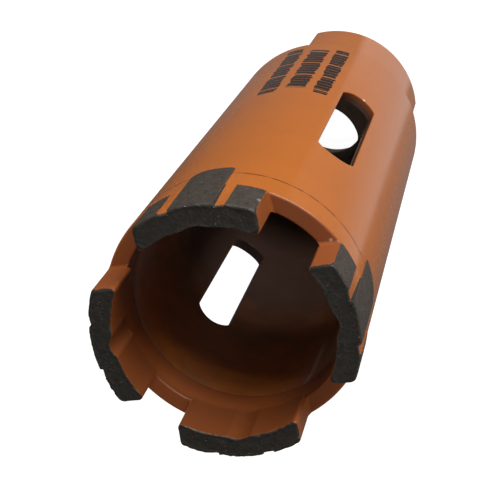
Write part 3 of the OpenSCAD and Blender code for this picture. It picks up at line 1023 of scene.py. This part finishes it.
def make_sintered(name, colours):
    """Hot-pressed metal and diamond, painted over and then dressed on a stone.

    Bare, matt and pitted on the pads and tips, enamel elsewhere.
    """
    made, add = new_material(name)
    tone, gloss, height = enamel_parts(add, colours)
    edge = add("Attribute", attribute_name="bare").outputs["Fac"]
    jagged = add("Math", grain(add, 0.55, 3), 0.5, operation="SUBTRACT")
    ragged = add("Math", jagged, 0.35, edge, operation="MULTIPLY_ADD")
    bare = add("MapRange", ragged, -0.03, 0.03)
    # Flecks of enamel that the stone left in hollows, 0.7 mm
    left = add("MapRange", grain(add, 0.7, 2, offset=11), 0.72, 0.74)
    bare = where_all(add, bare, add("Math", 1.0, left, operation="SUBTRACT"))
    patchy = add("MapRange", grain(add, 1.3, 4, offset=4), 0.3, 0.7)
    dark, light = toned(colours.sintered, 0.72), toned(colours.sintered, 1.25)
    mottle = add("Mix", patchy, dark, light, data_type="RGBA")
    pits = add("MapRange", grain(add, 0.6, 2, offset=6), 0.63, 0.7)
    metal = add("Mix", pits, mottle, colours.pits, data_type="RGBA")
    # The working faces are darker with old slurry than the pads
    caked = add("Mix", 0.52, metal, colours.slurry, data_type="RGBA")
    metal = add("Mix", outward(add), caked, metal, data_type="RGBA")
    # One corner is lighter: rubbed metal, partly a painted highlight
    metal = add("Mix", spot(add, *RUBBED_GLINT), metal, colours.rubbed, data_type="RGBA")
    tone = add("Mix", bare, tone, metal, data_type="RGBA")
    gloss = add("Mix", bare, gloss, 0.55)
    coarse = add("Math", grain(add, 0.3, 3), 1.2, operation="MULTIPLY")
    pitted = add("Math", pits, -2.5, coarse, operation="MULTIPLY_ADD")
    painted = add("Bump", {"Strength": 0.3, "Distance": FINE_BUMP, "Height": height})
    ground = add("Bump", {"Strength": 0.7, "Distance": 4 * FINE_BUMP, "Height": pitted})
    bump = add("Mix", bare, painted, ground, data_type="VECTOR")
    add("OutputMaterial", add("BsdfPrincipled", {"Base Color": tone, "Roughness": gloss, "Normal": bump}))
    return made


def make_grain(name, colours):
    """Synthetic diamond, grown and screened to size: glassy grains, grey-brown from the metal round them."""
    made, add = new_material(name)
    share = add("MapRange", grain(add, 0.8, 1), 0.4, 0.6)
    tone = add("Mix", share, colours.grit, toned(colours.grit, 0.35), data_type="RGBA")
    add("OutputMaterial", add("BsdfPrincipled", {"Base Color": tone, "Roughness": 0.25}))
    return made


FINISHES = {
    "sprayed_gloss_enamel": make_enamel,
    "sprayed_gloss_enamel_ticked": partial(make_enamel, ticks=True),
    "oversprayed_drawn_steel": make_inside,
    "machined_steel": make_steel,
    "dressed_sintered_metal": make_sintered,
    "synthetic_diamond_grit": make_grain,
}


def finish(name):
    """The finish of that name, made when the first piece asks for it."""
    colours = bpy.context.scene.core_bit_colours
    return bpy.data.materials.get(name) or FINISHES[name](name, colours)


# Stage


def aim(thing, place, target, roll=0.0):
    """Points a lamp or the camera from one place at another."""
    turn = (Vector(target) - Vector(place)).to_track_quat("-Z", "Y").to_matrix().to_4x4()
    thing.matrix_world = Matrix.Translation(place) @ turn @ Matrix.Rotation(roll, 4, "Z")


def soft_lamp(name, azimuth, elevation, size, level, in_gloss=True):
    """A soft lamp 1 m from the middle of the bit; at level 1 a facing colour renders as written."""
    distance, target = 1.0, Vector((0, 0, 0.09))
    lamp = bpy.data.lights.new(name, "AREA")
    lamp.shape = "RECTANGLE"
    lamp.size, lamp.size_y = size
    lamp.energy = math.pi**2 * distance**2 * level
    holder = bpy.data.objects.new(name, lamp)
    holder.visible_glossy = in_gloss
    bpy.context.scene.collection.objects.link(holder)
    a, e = math.radians(azimuth), math.radians(elevation)
    way = Vector((math.cos(a) * math.cos(e), math.sin(a) * math.cos(e), math.sin(e)))
    aim(holder, target + way * distance, target)


def make_floor_finish(name, colours):
    """Matt pale floor: white to the camera, and to gloss a painted reflection of a softly lit room, glowing
    for gloss only.
    """
    made, add = new_material(name)
    x, y, _, _, away = places(add)
    forward, aside = [
        add("Math", x, share_x, add("Math", y, share_y, operation="MULTIPLY"), operation="MULTIPLY_ADD")
        for share_x, share_y in (FORWARD, ASIDE)
    ]
    # Painted reflection for gloss: bright on the camera's right, dimmer to the left and behind
    on_right = add("MapRange", aside, -0.0025, 0.0)
    lit = where_all(add, on_right, add("MapRange", forward, 0.0158, 0.0178))
    left_level = add("MapRange", away, 0.038, 0.072, 0.15, 0.058)
    right_level = add("MapRange", away, 0.038, 0.076, 0.19, 0.105)
    dim = add("Mix", on_right, left_level, right_level)
    painted_reflection_level = add("Mix", lit, dim, add("MapRange", forward, 0.016, 0.06, 0.56, 0.165))
    # A patch of floor under the bore glows for every ray, though it is no lamp: it is seen through the bore
    # and lights the thread
    bore_view, ray = 0.0094, add("LightPath").outputs
    to_camera = add("Math", ray["Is Camera Ray"], 0.97, operation="MULTIPLY")
    glow_under_bore = add("Math", away, bore_view, operation="LESS_THAN")
    white = add("Math", to_camera, glow_under_bore, operation="MAXIMUM")
    seen = add("AddShader", add("BsdfDiffuse", colours.floor), add("Emission", (1, 1, 1), white))
    painted_reflection = add("Emission", (1, 1, 1), painted_reflection_level)
    add("OutputMaterial", add("MixShader", ray["Is Glossy Ray"], seen, painted_reflection))
    return made


def make_stage(colours):
    """The floor, the lamps, the world and the camera."""
    reach = 1.5
    corners = [(-reach, -reach, 0), (reach, -reach, 0), (reach, reach, 0), (-reach, reach, 0)]
    mesh = bpy.data.meshes.new("floor")
    mesh.from_pydata(corners, [], [(0, 1, 2, 3)])
    mesh.materials.append(make_floor_finish("pale_floor_painted_reflection", colours))
    floor = bpy.data.objects.new("floor", mesh)
    bpy.context.scene.collection.objects.link(floor)

    soft_lamp("key_softbox", -78, 15, (0.75, 0.4), 1.13)
    soft_lamp("top_softbox", -86, 80, (0.6, 0.6), 0.11)
    # The back lamps stay out of the gloss, where they would show as white slivers on the tube's edges
    soft_lamp("left_back_softbox", 45, 5, (0.5, 0.3), 0.5, False)
    soft_lamp("right_back_softbox", 155, 5, (0.5, 0.3), 0.45, False)

    # White to the camera, and a little light from all round for the bit
    world = bpy.data.worlds.new("studio")
    bpy.context.scene.world = world
    world.use_nodes = True
    world.node_tree.nodes.clear()
    add = partial(node, world.node_tree)
    level = add("MapRange", add("LightPath").outputs["Is Camera Ray"], 0.0, 1.0, 0.06, 1.0)
    add("OutputWorld", add("Background", (1, 1, 1), level))

    # Fitted to the tube's outline, both slots, the crown and the view through the bore
    camera = bpy.data.cameras.new("camera")
    camera.lens, camera.sensor_width = 88.37, 36
    holder = bpy.data.objects.new("camera", camera)
    bpy.context.scene.collection.objects.link(holder)
    place, target, roll = (0.01751, -0.10904, 0.35780), (0.002949, 0.0, 0.12066), math.radians(-151.62)
    aim(holder, place, target, roll)
    bpy.context.scene.camera = holder
    bpy.context.scene.view_settings.view_transform = "Standard"


# Operators


def dress(piece, *finishes):
    """Gives a piece its finishes; the first covers it all until use_second picks faces for the other."""
    for name in finishes:
        piece.data.materials.append(finish(name))


def use_second(piece, chosen):
    """Gives a piece's second finish to the faces that are chosen."""
    for face in piece.data.polygons:
        if chosen(face.center, face.normal):
            face.material_index = 1


def looks_inwards(centre, normal, radius):
    """Whether a face lies inside a radius and looks at the drilling axis."""
    return math.hypot(centre.x, centre.y) < radius and normal.xy.dot(centre.xy) < 0


def settle(piece, slot, *nodes):
    """Puts a finished piece on the frame, in place of its CAD nodes where it has any."""
    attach(piece, "root")
    if nodes:
        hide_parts(*nodes)


class CORE_BIT_OT_stage(bpy.types.Operator):
    """Lays the floor, sets the lamps and places the camera"""

    bl_idname = "core_bit.stage"
    bl_label = "Stage"

    def execute(self, context):
        make_stage(context.scene.core_bit_colours)
        return {"FINISHED"}


class CORE_BIT_OT_barrel(bpy.types.Operator):
    """Builds the slotted tube"""

    bl_idname = "core_bit.barrel"
    bl_label = "Tube"

    def execute(self, context):
        sizes = context.scene.core_bit_sizes
        inside = sizes.barrel_radius - sizes.barrel_wall + 0.1 * MM
        low, high = sizes.slot_low - 1 * MM, sizes.slot_high + 1 * MM

        def in_slot_wall(centre, normal):
            return low < centre.z < high and abs(normal.xy.dot(centre.xy.normalized())) < 0.3

        piece = make_barrel(sizes)
        dress(piece, "sprayed_gloss_enamel_ticked", "oversprayed_drawn_steel")
        use_second(piece, lambda centre, normal: looks_inwards(centre, normal, inside))
        use_second(piece, in_slot_wall)
        settle(piece, "orange_paint", "barrel")
        return {"FINISHED"}


class CORE_BIT_OT_hub(bpy.types.Operator):
    """Builds the hub and the turns of its thread"""

    bl_idname = "core_bit.hub"
    bl_label = "Hub"

    def execute(self, context):
        sizes = context.scene.core_bit_sizes
        bore, front = 16 * MM, sizes.hub_front - 0.5 * MM
        piece = make_hub(sizes)
        dress(piece, "sprayed_gloss_enamel", "machined_steel")
        use_second(piece, lambda centre, normal: looks_inwards(centre, normal, bore))
        use_second(piece, lambda centre, normal: centre.z > front)
        settle(piece, "orange_paint", "hub")
        settle(make_thread(sizes, finish("machined_steel")), "orange_paint")
        return {"FINISHED"}


class CORE_BIT_OT_weld(bpy.types.Operator):
    """Lays the ripple weld between the hub and the tube"""

    bl_idname = "core_bit.weld"
    bl_label = "Weld"

    def execute(self, context):
        weld = make_weld(context.scene.core_bit_sizes, finish("sprayed_gloss_enamel"))
        settle(weld, "orange_paint", "weld_bead")
        return {"FINISHED"}


class CORE_BIT_OT_ring(bpy.types.Operator):
    """Builds the crown ring"""

    bl_idname = "core_bit.ring"
    bl_label = "Crown ring"

    def execute(self, context):
        piece = make_ring(context.scene.core_bit_sizes)
        dress(piece, "sprayed_gloss_enamel")
        settle(piece, "orange_paint", "crown_ring")
        return {"FINISHED"}


class CORE_BIT_OT_segments(bpy.types.Operator):
    """Builds the four cutting segments and the grit that stands out of them"""

    bl_idname = "core_bit.segments"
    bl_label = "Segments"

    def execute(self, context):
        sizes = context.scene.core_bit_sizes
        bodies = []
        for name in PLACES:
            piece = make_segment(sizes, name)
            dress(piece, "dressed_sintered_metal")
            settle(piece, "sintered_segment", name)
            bodies.append(piece)
        grit = make_grit(sizes, bodies, finish("synthetic_diamond_grit"))
        settle(grit, "sintered_segment")
        return {"FINISHED"}


class CORE_BIT_PT_panel(bpy.types.Panel):
    """Lists the bit's pieces and the sizes and colours that they use"""

    bl_idname = "CORE_BIT_PT_panel"
    bl_label = "Core Bit"
    bl_space_type = "VIEW_3D"
    bl_region_type = "UI"
    bl_category = "Core Bit"

    def draw(self, context):
        column = self.layout.column(align=True)
        for operator in OPERATORS:
            column.operator(operator.bl_idname)
        for group in (context.scene.core_bit_sizes, context.scene.core_bit_colours):
            box = self.layout.box()
            for key in group.__annotations__:
                box.prop(group, key)


OPERATORS = (
    CORE_BIT_OT_stage,
    CORE_BIT_OT_barrel,
    CORE_BIT_OT_hub,
    CORE_BIT_OT_weld,
    CORE_BIT_OT_ring,
    CORE_BIT_OT_segments,
)
CLASSES = (BitSizes, BitColours, *OPERATORS, CORE_BIT_PT_panel)


def register():
    for made in CLASSES:
        bpy.utils.register_class(made)
    bpy.types.Scene.core_bit_sizes = PointerProperty(type=BitSizes)
    bpy.types.Scene.core_bit_colours = PointerProperty(type=BitColours)


def unregister():
    del bpy.types.Scene.core_bit_colours
    del bpy.types.Scene.core_bit_sizes
    for made in reversed(CLASSES):
        bpy.utils.unregister_class(made)


def main():
    register()
    bpy.ops.core_bit.stage()
    bpy.ops.core_bit.barrel()
    bpy.ops.core_bit.hub()
    bpy.ops.core_bit.weld()
    bpy.ops.core_bit.ring()
    bpy.ops.core_bit.segments()


if __name__ == "__main__":
    main()
